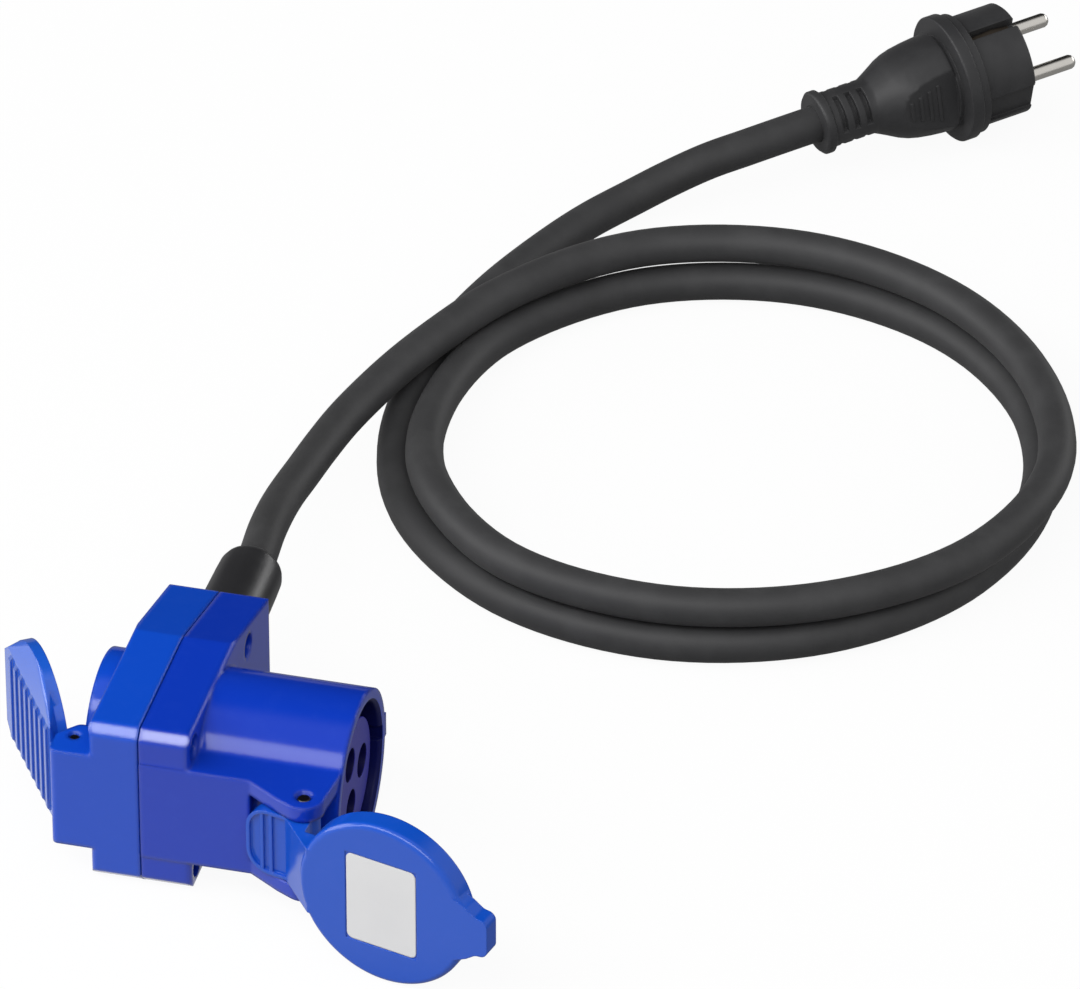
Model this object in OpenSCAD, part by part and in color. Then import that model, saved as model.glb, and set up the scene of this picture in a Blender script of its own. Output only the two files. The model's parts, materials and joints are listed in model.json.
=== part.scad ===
/* [Housing] */
// Width of the housing across its flat sides
plate_w = 56; // [55.5:0.5:60]
// Seam to the outer face of each half
shell_t = 15.5; // [15:0.5:17]
// Connector axis to the near end face
near_len = 31; // [30:0.5:34]
// Connector axis to the crease where the shoulders start
crease_y = 19; // [16:0.5:22]
// Connector axis to the cable end face
far_len = 59; // [58:0.5:64]
// Width of the cable end face
far_w = 34; // [32:1:40]
// Wall of the housing halves
wall = 2.5; // [2:0.1:2.8]
// Chamfer of the near end's long edges
near_c = 3.2; // [2.6:0.1:4]
// Rounding beside that chamfer
near_r = 1.5; // [1:0.25:2]
// Rounding of the outer edges
edge_r = 1.5; // [1:0.25:2]
// Half width of the groove along the seam
seam_v = 0.25; // [0.15:0.05:0.4]
// Depth of that groove
seam_d = 0.8; // [0.5:0.1:1.2]
// Width of the hinge blocks
block_w = 34; // [33:0.5:36]
// Far screws from the connector axis, along the housing
far_screw_y = 34.6; // [33:0.2:36]
// Far screws from the connector axis, across the housing
far_screw_z = 16.4; // [15.5:0.1:17]
// Near screws from the connector axis, along the housing
near_screw_y = -25; // [-26:0.2:-24.6]
// Near screws from the connector axis, across the housing
near_screw_z = 21.6; // [21.2:0.1:22.5]
// Recess for a housing screw head
recess_d = 7.8; // [7.6:0.1:8.6]
// Thread of a housing screw
screw_d = 3.5; // [3:0.1:4]

/* [Connector] */
// Bore of the round collar
collar_d = 45.5; // [45:0.1:46]
// Wall of the round collar
collar_wall = 4.45; // [4:0.05:4.7]
// Seam to the mouth of the collar
mouth_x = 59.6; // [58.5:0.1:62]
// Lead-in of the mouth
mouth_c = 1.3; // [0.5:0.1:1.6]
// Seam to the back of the web that holds the contact carrier
web_x = 16; // [15.8:0.1:17]
// Thickness of that web
web_t = 3.5; // [3:0.1:4]
// Contact carrier
carrier_d = 36.4; // [35:0.1:36.4]
// Carrier face behind the mouth
carrier_back = 2.2; // [2:0.1:4]
// Mouth of a contact hole in the carrier's face
hole_d = 10.4; // [9:0.1:11]
// Depth of that mouth
hole_deep = 5; // [4:0.5:6]
// Circle of the contacts
contact_circle = 17.5; // [17:0.1:18]
// Bore of the line and neutral sleeves
sleeve_bore = 5.2; // [5:0.1:5.4]
// Bore of the earth sleeve
earth_bore = 6.2; // [6:0.1:6.4]
// Wall of the sleeves
sleeve_wall = 1.05; // [0.9:0.05:1.2]
// Sleeves behind the carrier's face
sleeve_back = 7; // [5:0.5:9]
// Width of the keyway inside the collar
keyway_w = 5; // [4:0.25:6]

/* [Connector lid] */
// Mouth plane back to the hinge axis
hinge_back = 8.1; // [7.6:0.1:8.6]
// Near end face out to the hinge axis
hinge_out = 3.6; // [3.4:0.1:4.2]
// Lid disc
lid_d = 55.8; // [55.2:0.2:56]
// Rounding of the lid's outer edge
lid_edge = 2; // [1:0.25:2.5]
// Hinge axis to the lid's outer face
lid_face = 15.8; // [15.4:0.1:17]
// Lid hinge pin
lid_pin_d = 4; // [3.6:0.1:4.4]
// Lid opening shown, from closed
lid_open = 104.6; // [0:0.2:104.6]
// Width of the rubber ring in the lid
seal_w = 4.35; // [4:0.05:5]
// Lid's nose past the disc
nose_l = 7.4; // [6.4:0.2:8.4]
// Width of that nose
nose_w = 12.8; // [12:0.2:14]
// Hinge axis to the end of the grip tab
tab_l = 16.8; // [14:0.2:16.8]
// Length of the blank label
label_l = 31; // [26:0.5:32]
// Height of the blank label
label_w = 23.2; // [20:0.2:25]

/* [Outlet] */
// Outlet axis from the connector axis
outlet_y = 10; // [9.5:0.1:10.5]
// Bore of the outlet cup
cup_d = 39.2; // [39:0.1:39.6]
// Wall of the outlet cup
cup_wall = 1.25; // [1.1:0.05:1.3]
// Depth of the outlet cup
cup_depth = 17; // [16.5:0.1:17.5]
// Wall of the outlet's outer collar
outlet_wall = 1.1; // [0.9:0.05:1.2]
// Seam to the mouth of the outlet
outlet_x = 22.5; // [22.3:0.1:22.8]
// Spacing of the outlet's pin holes
pole_pitch = 19; // [18.8:0.1:19.2]
// Bore of an outlet contact
outlet_bore = 4.9; // [4.85:0.05:5.1]

/* [Outlet lid] */
// Seam back to the outlet lid's hinge axis
flap_pin_x = 22; // [21.8:0.1:22.3]
// Connector axis to the outlet lid's hinge axis
flap_pin_y = 22.1; // [21.9:0.1:22.5]
// Outlet lid's hinge pin
flap_pin_d = 3; // [2.6:0.1:3.2]
// Outlet lid's round rim
flap_d = 50; // [49.5:0.1:50.4]
// Height of a grip rib
flap_rib_h = 0.9; // [0.5:0.1:1.2]
// Outlet lid opening shown, from closed
flap_open = 33; // [0:1:95]

/* [Cable] */
// Cable across
cord_d = 12; // [11.6:0.1:12]
// Boot past the housing's end
boot_l = 37; // [33:1:40]
// Boot across at the housing
boot_d = 21.4; // [20.6:0.2:22]
// Boot across at its tip
boot_tip_d = 20; // [18:0.2:20.4]
// Core wire across
wire_d = 3.4; // [2.8:0.1:3.5]

/* [Plug] */
// Plug's flange
plug_flange_d = 42.6; // [42:0.1:42.6]
// Plug's front part
plug_front_d = 37.3; // [36.8:0.1:37.6]
// Plug from its tail to its front face
plug_l = 72; // [70:0.5:74]
// Plug pin across
pin_d = 4.8; // [4.7:0.05:4.8]
// Plug pin past the front face
pin_l = 19; // [18.5:0.1:19.2]
// Plug's tail collar
tail_d = 21.3; // [20:0.1:23]
// Plug body just behind the flange
grip_d = 33; // [32:0.5:34]
// Width of the plug's earth strip
strip_w = 3; // [2.6:0.1:3.6]

/* [Fits] */
// Radial play of a lid on its hinge pin
hinge_play = 0.05; // [0.03:0.01:0.08]
// Radial play of pieces that sit in one another
seat_play = 0.05; // [0.03:0.01:0.08]
// Gap at the side of a lid's knuckle
side_gap = 0.4; // [0.3:0.05:0.6]

/* [Hidden] */
$fn = 64;

blue = [0.06, 0.2, 0.72];
lid_blue = [0.14, 0.3, 0.78];
carrier_blue = [0.2, 0.18, 0.55];
rubber = [0.13, 0.13, 0.14];
brass = [0.78, 0.6, 0.28];
nickel = [0.78, 0.77, 0.74];
steel = [0.6, 0.61, 0.63];

// Housing
axis_z = plate_w / 2;
cavity_x = shell_t - wall;
front_proud = 0.4;
near_face = -near_len - front_proud;
house_corners = [[-near_len, near_c], [near_c - near_len, 0], [crease_y, 0], [far_len, axis_z - far_w / 2],
    [far_len, axis_z + far_w / 2], [crease_y, plate_w], [near_c - near_len, plate_w],
    [-near_len, plate_w - near_c]];
house_radii = [near_r, near_r, 2, 1.5, 1.5, 2, near_r, near_r];
screw_seats = [for (s = [-1, 1]) each [[far_screw_y, axis_z + s * far_screw_z],
    [near_screw_y, axis_z + s * near_screw_z]]];
boss_r = 4.8;
recess_depth = 5.5;
head_h = 2.4;
screw_end = -10;

// Round connector
collar_r = collar_d / 2;
barrel_r = collar_r + collar_wall;
web_front = web_x + web_t;
carrier_r = carrier_d / 2;
carrier_x = mouth_x - carrier_back;
carrier_flange_r = carrier_r + 2;
carrier_rear = web_x - 1.5;
sleeve_r = sleeve_bore / 2 + sleeve_wall;
earth_r = earth_bore / 2 + sleeve_wall;
sleeve_rear = 8;
sleeve_front = carrier_x - sleeve_back;
contact_r = contact_circle / 2;
line_at = [-contact_r / 2, axis_z + contact_r * sin(60)];
neutral_at = [-contact_r / 2, axis_z - contact_r * sin(60)];
earth_at = [contact_r, axis_z];

// Connector lid, hinge axis along z
lid_pin_x = mouth_x - hinge_back;
lid_pin_y = -near_len - hinge_out;
lid_axis = -lid_pin_y;
lid_r = lid_d / 2;
ear_r = 6.3;
ear_gap = block_w / 2 - 5;
knuckle_half = ear_gap - side_gap;
knuckle_r = 5;
block_x = lid_pin_x - 17.5;
lid_skin = 3;
lid_lip = hinge_back + 0.5;
lid_pin_r = lid_pin_d / 2;
lid_pin_rim = 0.75;
pin_sunk = 0.6;

// Outlet
cup_r = cup_d / 2;
cup_out_r = cup_r + cup_wall;
outlet_r = cup_out_r + seat_play + outlet_wall;
cup_floor = outlet_x - cup_depth;
cup_floor_t = 2.5;
tunnel_x = 6;
tunnel_r = 5;
outlet_contact_r = 3.65;
outlet_contact_end = 10;
flap_axis = outlet_y + flap_pin_y;
flap_r = flap_d / 2;
flap_knuckle_r = 3.8;
flap_top = 5.75;
flap_pin_r = flap_pin_d / 2;
flap_pin_rim = 0.45;
rear_block_x = flap_pin_x + 5.5;
rear_wall = 2.3;

// Cable inside the housing
cord_r = cord_d / 2;
cord_in = 38;
clamp_y = 41;
clamp_l = 7;
clamp_half = 14;
clamp_screw_z = 10.5;
clamp_screw_r = 1.5;
clamp_top = 9;
clamp_head = 2.2;
boot_neck_r = boot_d / 2 - 1.1;
boot_in = far_len - 8.5;
boot_bore_r = cord_r + 0.15;

// Plug
plug_at = [107.1, 393.1, 17.8];
plug_heading = 40.4;
plug_tilt = 4.3;
plug_roll = 18;
plug_dir = [cos(plug_heading) * cos(plug_tilt), sin(plug_heading) * cos(plug_tilt), sin(plug_tilt)];
flange_x = plug_l - 24.8;
front_x = plug_l - 17.5;
grip_end = flange_x - 1.4;
bridge_x = plug_l - 13;
pin_back = front_x + 2.5;
root_r = pin_d / 2 + 0.3;
plug_bore_r = cord_r + 0.1;
strip_r = plug_front_d / 2 - 4;
strip_half = strip_w / 2;
strip_gap = 0.2;
guide_half = 5.8;
guide_depth = 2.4;
grip_flat = grip_d / 2 - 3.2;
grip_turn = -25;
slot_turn = 62.4;

// Cable route, millimetres: gland strand, coil, plug strand
coil_at = [121, 219];
coil_radius = [[180, 106], [225, 105], [270, 100.5], [310, 97.5], [400, 96.5], [480, 98.5], [510, 97.5],
    [540, 94.4], [570, 98.4], [600, 101.5], [650, 97], [712, 103], [760, 97.5], [846, 102.5], [870, 102]];
coil_height = [[180, 6.1], [450, 6.2], [480, 6.35], [510, 7.2], [540, 12.2], [570, 17.4], [600, 18.7],
    [870, 18.7]];
coil = [for (a = [870 : -30 : 180]) let (r = lookup(a, coil_radius))
    [coil_at[0] + r * cos(a), coil_at[1] + r * sin(a), lookup(a, coil_height)]];
gland_strand = [[0, cord_in, axis_z], [0, 70, axis_z], [0, 97, axis_z], [-2, 120, 26], [-3, 142, 22],
    [-2, 160, 19.5], [-0.5, 177, 18], [2, 193, 17.5], [6, 208.5, 17.6], [11.6, 225, 18.2],
    [18.8, 242.5, 18.6]];
plug_strand = [[15.8, 240, 6.1], [18, 262, 6.1], [24, 287, 6.1], [34.5, 315, 6.1], [46.5, 338.2, 6.6],
    [56.5, 350.6, 8.2], [66.5, 360.2, 11], [77.4, 368.8, 14.1], [88.2, 377.1, 15.8]];
route = concat(gland_strand, coil, plug_strand, [plug_at - 12 * plug_dir, plug_at, plug_at + 20 * plug_dir]);
wire_gap = 0.15;
line_route = [[1.8, cord_in - wire_gap, axis_z + 2.6], [1.8, cord_in - 2, axis_z + 2.6],
    [2.5, 32, axis_z + 5], [4, 25, axis_z + 13], [5, 16, axis_z + 18.5], [5, 6, axis_z + 19],
    [3, -3, axis_z + 18], [0.5, -7, axis_z + 14], [1, -6.5, axis_z + 9.6],
    [sleeve_rear - 3, line_at[0], line_at[1]], [sleeve_rear - wire_gap, line_at[0], line_at[1]]];
line_link = [[8, outlet_y - outlet_contact_r - 3 * wire_gap, axis_z + pole_pitch / 2], [9, 2.4, axis_z + 8.8],
    [10, line_at[0] + sleeve_r + 3 * wire_gap, line_at[1] + 0.6]];
earth_route = [[-2.4, cord_in - wire_gap, axis_z], [-2.4, cord_in - 2, axis_z], [0.4, 30, axis_z],
    [2.4, 22, axis_z], [3, 15, axis_z], [sleeve_rear - 3, earth_at[0], axis_z],
    [sleeve_rear - wire_gap, earth_at[0], axis_z]];
earth_link = [[-cup_floor + cup_floor_t + 0.9 + wire_gap, 0, axis_z], [2, 0, axis_z], [8, 0.6, axis_z],
    [10.5, earth_at[0] - earth_r - 5 * wire_gap, axis_z]];

function unit(v) = v / norm(v);

// One outline corner moved inwards by d
function inset_corner(a, p, b, d) =
    let (u = unit(a - p), v = unit(b - p), half = acos(u * v) / 2)
    p + unit(u + v) * d / sin(half);

function inset(pts, d) = let (n = len(pts))
    [for (i = [0 : n - 1]) inset_corner(pts[(i + n - 1) % n], pts[i], pts[(i + 1) % n], d)];

// One outline corner rounded to radius r
function arc_corner(a, p, b, r, n = 6) =
    let (u = unit(a - p), v = unit(b - p), half = acos(u * v) / 2, t = r / tan(half),
        c = p + unit(u + v) * r / sin(half), w0 = p + u * t - c, w1 = p + v * t - c, s = 180 - 2 * half)
    r == 0 ? [p] : [for (k = [0 : n]) c + (sin((1 - k / n) * s) * w0 + sin(k / n * s) * w1) / sin(s)];

function rounded(pts, radii) = let (n = len(pts))
    [for (i = [0 : n - 1]) each arc_corner(pts[(i + n - 1) % n], pts[i], pts[(i + 1) % n], radii[i])];

function house(d = 0) = rounded(inset(house_corners, d), [for (r = house_radii) max(r - d, 0.5)]);

// Smooth curve through points, m steps where a span is longer than 30 mm
function slope(p, i) = i == 0 ? unit(p[1] - p[0]) : i == len(p) - 1 ? unit(p[i] - p[i - 1])
    : let (a = p[i] - p[i - 1], b = p[i + 1] - p[i], l = norm(a), m = norm(b))
        (m * a / l + l * b / m) / (l + m);
function span_at(p, i, t) = let (l = norm(p[i + 1] - p[i]), a = t * t, b = a * t)
    (2 * b - 3 * a + 1) * p[i] + (b - 2 * a + t) * l * slope(p, i) + (3 * a - 2 * b) * p[i + 1]
    + (b - a) * l * slope(p, i + 1);
function smooth(p, m) = [for (i = [0 : len(p) - 2]) let (k = norm(p[i + 1] - p[i]) > 30 ? m : 1)
    for (j = [0 : k - 1]) span_at(p, i, j / k), p[len(p) - 1]];

// Tube swept along points, n sides
module tube(p, r, n) {
    m = len(p);
    rings = [for (i = [0 : m - 1]) let (t = unit(p[min(i + 1, m - 1)] - p[max(i - 1, 0)]),
        s = unit(cross(t, [0, 0, 1])), u = cross(s, t))
        for (k = [0 : n - 1]) p[i] + r * (cos(360 * k / n) * s + sin(360 * k / n) * u)];
    sides = [for (i = [0 : m - 2], k = [0 : n - 1]) let (a = i * n + k, b = i * n + (k + 1) % n)
        each [[a, b, b + n], [a, b + n, a + n]]];
    ends = [[for (k = [n - 1 : -1 : 0]) k], [for (k = [0 : n - 1]) (m - 1) * n + k]];
    polyhedron(rings, concat(ends, sides));
}

// Cylinder along +x from x0 to x1, about y, z
module along_x(x0, x1, r, at, r2) {
    translate([x0, at[0], at[1]])
        rotate([0, 90, 0])
            cylinder(r1 = r, r2 = is_undef(r2) ? r : r2, h = x1 - x0);
}

// Outline in y and z extruded along +x
module slab_x(x0, x1, pts) {
    translate([x0, 0, 0])
        rotate([90, 0, 90])
            linear_extrude(x1 - x0)
                polygon(pts);
}

// Outline in x and z extruded along +y
module slab_y(y0, y1, pts) {
    translate([0, y1, 0])
        rotate([90, 0, 0])
            linear_extrude(y1 - y0)
                polygon(pts);
}

module box(x0, x1, y0, y1, z0, z1) {
    translate([x0, y0, z0])
        cube([x1 - x0, y1 - y0, z1 - z0]);
}

// Half of the housing's house shape, on the +x side of the seam; the side it lies on has no groove
module half_plate() {
    intersection() {
        union() {
            slab_x(seam_v, shell_t, house());
            slab_x(0, 2 * seam_v, house(seam_d));
            box(0, 2 * seam_v, near_c - near_len, crease_y, 0, 2 * seam_d);
        }
        linear_extrude(plate_w)
            polygon(rounded([[0, -near_len], [shell_t, -near_len], [shell_t, far_len], [0, far_len]],
                [0, edge_r + 0.5, edge_r, 0]));
        slab_y(-near_len, far_len, rounded([[0, 0], [shell_t, 0], [shell_t, plate_w], [0, plate_w]],
            [0, edge_r, edge_r, 0]));
    }
}

module half_shell() {
    difference() {
        half_plate();
        slab_x(-1, cavity_x, house(wall));
    }
}

// Way out for the cable boot, shared by both halves
module boot_hole() {
    translate([0, far_len - wall - 4, axis_z])
        rotate([-90, 0, 0])
            cylinder(r = boot_neck_r + 0.1, h = wall + 8);
}

// Hole for a hinge pin right through a block, with a wider rim at each end
module pin_hole(at, r, rim) {
    low = axis_z - block_w / 2;
    translate([at[0], at[1], -1])
        cylinder(r = r + seat_play, h = plate_w + 2);
    for (z = [low - 1, low + block_w - 2 * pin_sunk])
        translate([at[0], at[1], z])
            cylinder(r = r + rim, h = 2 * pin_sunk + 1);
}

// Front hinge block with its two ears
module front_block() {
    low = axis_z - block_w / 2;
    back = -barrel_r + 8;
    box(seam_v, block_x, near_face, back, low, low + block_w);
    for (z0 = [low, axis_z + ear_gap])
        translate([0, 0, z0]) {
            linear_extrude(block_w / 2 - ear_gap)
                polygon([[block_x - 1, back], [block_x - 1, near_face], [block_x, near_face],
                    [lid_pin_x - 7.7, lid_pin_y - 3.1], [lid_pin_x - 2.91, lid_pin_y - 5.59],
                    [lid_pin_x, lid_pin_y], [lid_pin_x + 6.25, lid_pin_y + 0.8],
                    [mouth_x - 0.5, lid_pin_y + 10.9], [mouth_x - 0.5, back]]);
            translate([lid_pin_x, lid_pin_y, 0])
                cylinder(r = ear_r, h = block_w / 2 - ear_gap);
        }
}

module front_solid() {
    half_shell();
    front_block();
    along_x(cavity_x, mouth_x, barrel_r, [0, axis_z]);
    box(cavity_x, mouth_x, barrel_r - 3, barrel_r + 1.3, axis_z - 4, axis_z + 4);
    for (s = screw_seats)
        along_x(0, cavity_x + 0.5, boss_r, s);
}

module front_shell() {
    color(blue)
        difference() {
            front_solid();
            along_x(web_front, mouth_x + 1, collar_r, [0, axis_z]);
            along_x(mouth_x - mouth_c, mouth_x + 0.01, collar_r, [0, axis_z], collar_r + mouth_c);
            along_x(cavity_x - 1, web_x, carrier_flange_r + 0.1, [0, axis_z]);
            along_x(web_x - 1, web_front + 1, carrier_r + seat_play, [0, axis_z]);
            box(web_front, mouth_x + 1, 0, collar_r + 1.5, axis_z - keyway_w / 2, axis_z + keyway_w / 2);
            for (s = screw_seats) {
                along_x(shell_t - recess_depth, shell_t + 1, recess_d / 2, s);
                along_x(-1, shell_t, screw_d / 2 + seat_play, s);
            }
            pin_hole([lid_pin_x, lid_pin_y], lid_pin_r, lid_pin_rim);
            boot_hole();
        }
}

// Rear hinge block, open towards the outlet between its ears
module rear_block() {
    low = axis_z - block_w / 2;
    notch = ear_gap - 0.6;
    difference() {
        translate([0, 0, low])
            linear_extrude(block_w)
                polygon(rounded([[-cavity_x, -near_len], [-rear_block_x, -near_len],
                    [-rear_block_x, -flap_pin_y], [-flap_pin_x, -flap_pin_y + 5.8],
                    [-cavity_x, -flap_pin_y + 5.8]], [0, 2, 3, 3, 0]));
        box(-rear_block_x - 1, -shell_t, rear_wall - near_len, 0, axis_z - notch, axis_z + notch);
    }
}

module rear_solid() {
    mirror([1, 0, 0])
        half_shell();
    rear_block();
    along_x(-outlet_x, -cavity_x, outlet_r, [outlet_y, axis_z]);
    for (s = screw_seats)
        along_x(-cavity_x - 0.5, 0, boss_r - 0.6, s);
    box(-cavity_x - 0.5, -4, clamp_y, clamp_y + clamp_l, axis_z - clamp_half, axis_z + clamp_half);
}

module rear_shell() {
    color(blue)
        difference() {
            rear_solid();
            along_x(-outlet_x - 1, -cavity_x + 1, cup_out_r + seat_play, [outlet_y, axis_z]);
            for (s = screw_seats)
                along_x(screw_end - 1, 1, screw_d / 2 + seat_play, s);
            for (s = [-1, 1])
                along_x(screw_end - 1, 0, clamp_screw_r + seat_play, clamp_screw_at(s));
            translate([0, clamp_y - 1, axis_z])
                rotate([-90, 0, 0])
                    cylinder(r = cord_r + 0.05, h = clamp_l + 2);
            pin_hole([-flap_pin_x, -flap_pin_y], flap_pin_r, flap_pin_rim);
            boot_hole();
        }
}

// Cross-slotted screw along -x, head from x back towards the seam
module screw(x, at, r, head_r, head, x_end) {
    difference() {
        union() {
            along_x(x - head, x, head_r, at);
            along_x(x_end, x - head, r, at);
        }
        box(x - 1.2, x + 1, at[0] - 0.5, at[0] + 0.5, at[1] - head_r * 0.7, at[1] + head_r * 0.7);
        box(x - 1.2, x + 1, at[0] - head_r * 0.7, at[0] + head_r * 0.7, at[1] - 0.5, at[1] + 0.5);
    }
}

module housing_screws() {
    color(steel)
        for (s = screw_seats)
            screw(shell_t - recess_depth + head_h, s, screw_d / 2, recess_d / 2 - 0.3, head_h, screw_end);
}

module connector_insert() {
    color(carrier_blue)
        difference() {
            union() {
                along_x(carrier_rear, carrier_x, carrier_r, [0, axis_z]);
                along_x(carrier_rear, web_x, carrier_flange_r, [0, axis_z]);
            }
            for (c = [[line_at, sleeve_r, sleeve_bore], [neutral_at, sleeve_r, sleeve_bore],
                [earth_at, earth_r, earth_bore]]) {
                along_x(carrier_rear - 1, sleeve_front, c[1] + seat_play, c[0]);
                along_x(sleeve_front - 1, carrier_x + 1, c[2] / 2 + 0.4, c[0]);
                along_x(carrier_x - hole_deep, carrier_x + 1, hole_d / 2, c[0]);
            }
        }
}

// Contact sleeve, closed behind the pin, with a wire bore at the back
module contact_sleeve(x0, x1, r, bore, at, stop) {
    difference() {
        along_x(x0, x1, r, at);
        along_x(x0 + stop, x1 + 1, bore / 2, at);
        along_x(x1 - 0.8, x1 + 0.01, bore / 2, at, bore / 2 + 0.5);
    }
}

module connector_line_sleeve() {
    color(brass)
        contact_sleeve(sleeve_rear, sleeve_front, sleeve_r, sleeve_bore, line_at, 6);
}

module connector_neutral_sleeve() {
    color(brass)
        contact_sleeve(sleeve_rear, sleeve_front, sleeve_r, sleeve_bore, neutral_at, 6);
}

module connector_earth_sleeve() {
    color(brass)
        contact_sleeve(sleeve_rear, sleeve_front, earth_r, earth_bore, earth_at, 6);
}

// Cup with two contact tunnels, a guide rib above and below and slots for the earth strap
module outlet_insert() {
    poles = [for (s = [-1, 1]) [outlet_y, axis_z + s * pole_pitch / 2]];
    back = -cup_floor + cup_floor_t;
    rib = 2.3;
    rib_h = 1.6;
    slot_y = cup_r - 1.35;
    color(carrier_blue)
        difference() {
            union() {
                along_x(-outlet_x, back, cup_out_r, [outlet_y, axis_z]);
                along_x(-cavity_x, -cavity_x + 1.5, cup_out_r + 1.6, [outlet_y, axis_z]);
                for (p = poles)
                    along_x(back - 1, tunnel_x, tunnel_r, p);
            }
            difference() {
                along_x(-outlet_x - 1, -cup_floor, cup_r, [outlet_y, axis_z]);
                for (s = [-1, 1])
                    box(-outlet_x + 2, 0, outlet_y - rib, outlet_y + rib,
                        axis_z + s * cup_r - rib_h, axis_z + s * cup_r + rib_h);
            }
            for (p = poles) {
                along_x(-cup_floor - 1, tunnel_x, outlet_bore / 2 + 0.4, p);
                along_x(back, tunnel_x + 1, outlet_contact_r + seat_play, p);
            }
            for (s = [-1, 1])
                box(-cup_floor - 1, back + 1, outlet_y + s * slot_y - 0.9, outlet_y + s * slot_y + 0.9,
                    axis_z - 3.1, axis_z + 3.1);
        }
}

// Contact tube of the outlet, open at both ends
module outlet_contact(at) {
    difference() {
        along_x(-cup_floor + cup_floor_t + 0.1, outlet_contact_end, outlet_contact_r, at);
        along_x(-cup_floor, outlet_contact_end + 1, outlet_bore / 2, at);
    }
}

module outlet_line_contact() {
    color(brass)
        outlet_contact([outlet_y, axis_z + pole_pitch / 2]);
}

module outlet_neutral_contact() {
    color(brass)
        outlet_contact([outlet_y, axis_z - pole_pitch / 2]);
}

// U-shaped strap, its two fingers bowed into the cup
module outlet_earth_strap() {
    back = -cup_floor + cup_floor_t;
    out = cup_r - 0.9;
    tip = 5 - outlet_x;
    half = [[back + 0.9, 0], [back + 0.9, out], [-cup_floor - 1, out], [tip + 5, out - 1.6], [tip, out],
        [tip - 0.2, out - 0.8], [tip + 5, out - 2.4], [-cup_floor - 1, out - 0.8], [back + 0.1, out - 0.8],
        [back + 0.1, 0]];
    color(nickel)
        for (m = [0, 1])
            translate([0, outlet_y, axis_z - 3])
                mirror([0, m, 0])
                    linear_extrude(6)
                        polygon(half);
}

// Connector lid as closed: x out of the mouth, y from the hinge to the tip, z about the axis
module at_lid(open) {
    translate([lid_pin_x, lid_pin_y, axis_z])
        rotate([0, 0, -open])
            children();
}

// Grip tab behind the hinge, with its rim and ribs
module lid_tab() {
    root = 1.2 - knuckle_r / 2;
    corners = [[-tab_l, -knuckle_half], [root, -knuckle_half], [root, knuckle_half], [-tab_l, knuckle_half]];
    outline = rounded(corners, [7.5, 0, 0, 7.5]);
    inner = rounded(inset(corners, 1.2), [6.3, 1, 1, 6.3]);
    slab_x(1.2, 4.4, outline);
    difference() {
        slab_x(4, 5.4, outline);
        slab_x(3.9, 6, inner);
    }
    for (y = [-11.6, -8.6])
        box(4, 5.2, y - 0.6, y + 0.6, 1 - knuckle_half, knuckle_half - 1);
}

// Wall from the hinge up to the lid's face
module lid_neck() {
    face_y = lid_axis - sqrt(lid_r * lid_r - knuckle_half * knuckle_half);
    translate([0, 0, -knuckle_half])
        linear_extrude(2 * knuckle_half)
            polygon([[-2.2, 3.6], [1.2, -3.4], [5.4, -3.4], [lid_face - 0.4, face_y],
                [lid_face, face_y + 0.6], [lid_face, face_y + 4], [lid_lip, face_y + 4],
                [lid_lip, lid_axis - barrel_r - 2.2], [3.5, 4.2]]);
}

// Nose that a mating part's latch catches
module lid_nose() {
    root = lid_axis + lid_r - 6;
    foot = lid_axis + lid_r + 0.5;
    bend = foot + 3;
    tip = lid_axis + lid_r + nose_l;
    h = nose_w / 2;
    side = [[root, h + 6], [foot, h + 2.6], [bend, h + 0.4], [tip, h]];
    outline = concat([for (p = side) [p[0], -p[1]]], [for (i = [3 : -1 : 0]) side[i]]);
    slab_x(lid_lip + 1.6, lid_face, rounded(outline, [0, 3, 3, 2.5, 2.5, 3, 3, 0]));
}

module lid_disc() {
    rotate([0, 90, 0])
        rotate_extrude($fn = 96)
            polygon(rounded([[0, lid_lip], [lid_r, lid_lip], [lid_r, lid_face], [0, lid_face]],
                [0, 0, lid_edge, 0]));
}

module connector_lid() {
    color(lid_blue)
        at_lid(lid_open)
            difference() {
                union() {
                    translate([0, lid_axis, 0])
                        lid_disc();
                    lid_neck();
                    lid_nose();
                    lid_tab();
                    translate([0, 0, -knuckle_half])
                        cylinder(r = knuckle_r, h = 2 * knuckle_half);
                }
                along_x(lid_lip - 1, lid_face - lid_skin, lid_r - 1.5, [lid_axis, 0]);
                translate([0, 0, -knuckle_half - 1])
                    cylinder(r = lid_pin_r + hinge_play, h = 2 * knuckle_half + 2);
                box(lid_face - 0.4, lid_face + 1, lid_axis - label_w / 2 - 0.3, lid_axis + label_w / 2 + 0.3,
                    -label_l / 2 - 0.3, label_l / 2 + 0.3);
            }
}

module connector_lid_pin() {
    color(steel)
        translate([lid_pin_x, lid_pin_y, axis_z - block_w / 2 + pin_sunk])
            cylinder(r = lid_pin_r, h = block_w - 2 * pin_sunk);
}

module connector_lid_seal() {
    color(rubber)
        at_lid(lid_open)
            difference() {
                along_x(lid_lip - 0.2, lid_face - lid_skin - 0.05, lid_r - 1.6, [lid_axis, 0]);
                along_x(lid_lip - 1, lid_face, lid_r - 1.6 - seal_w, [lid_axis, 0]);
            }
}

module rating_label() {
    h = label_l / 2;
    w = label_w / 2;
    outline = rounded([[-w, -h], [w, -h], [w, h], [-w, h]], [2, 2, 2, 2]);
    color([0.84, 0.84, 0.84])
        at_lid(lid_open)
            translate([0, lid_axis, 0])
                slab_x(lid_face - 0.38, lid_face - 0.1, outline);
}

// Outlet lid as closed: -x out of the outlet, y from the hinge to the tip, z about the axis
module at_flap(open) {
    translate([-flap_pin_x, -flap_pin_y, axis_z])
        rotate([0, 0, open])
            children();
}

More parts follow.
